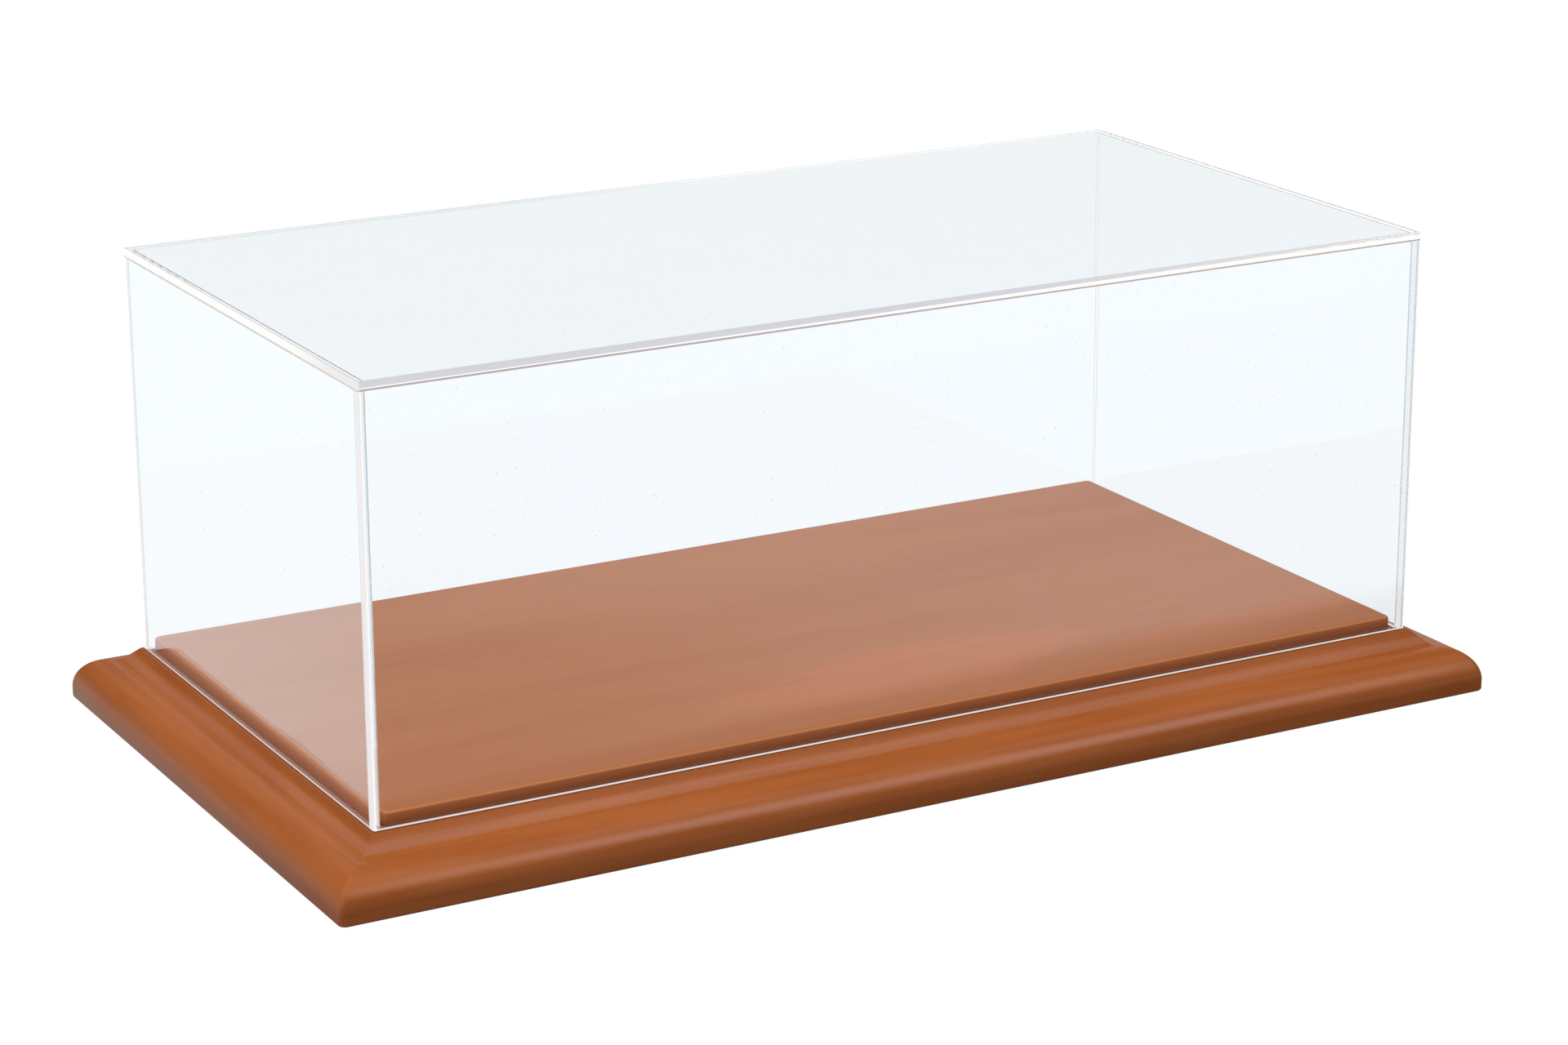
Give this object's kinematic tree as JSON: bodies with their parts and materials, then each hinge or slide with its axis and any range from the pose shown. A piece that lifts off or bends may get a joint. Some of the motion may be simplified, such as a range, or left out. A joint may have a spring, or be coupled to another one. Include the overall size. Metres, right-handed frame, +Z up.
{
  "type": "display case",
  "caption": "Low rectangular display case: a clear acrylic cover lifts straight up off a stained wooden plinth with a moulded edge and a raised deck that locates it.",
  "frame": {"origin": "centre of the footprint, on the surface that the pads stand on", "axes": "+Z up, +X along the length to the right, -Y towards the front"},
  "size_m": [0.3586, 0.1986, 0.1366],
  "materials": {
    "stained_wood": "orange-brown stain under a satin lacquer; the deck shows a veneer figure",
    "clear_acrylic": "clear cast acrylic, polished outer edges, cemented joints",
    "felt": "dark green self-adhesive felt"
  },
  "bodies": {
    "plinth": {"plinth_board": "stained_wood", "deck_panel": "stained_wood", "pad_front_left": "felt", "pad_front_right": "felt", "pad_back_left": "felt", "pad_back_right": "felt"},
    "cover": {"top_panel": "clear_acrylic", "front_panel": "clear_acrylic", "back_panel": "clear_acrylic", "left_panel": "clear_acrylic", "right_panel": "clear_acrylic"}
  },
  "joints": [
    {"name": "cover_lift", "type": "slide", "parent": "plinth", "child": "cover", "axis": [0, 0, 1], "range_m": [0, 0.14]}
  ]
}
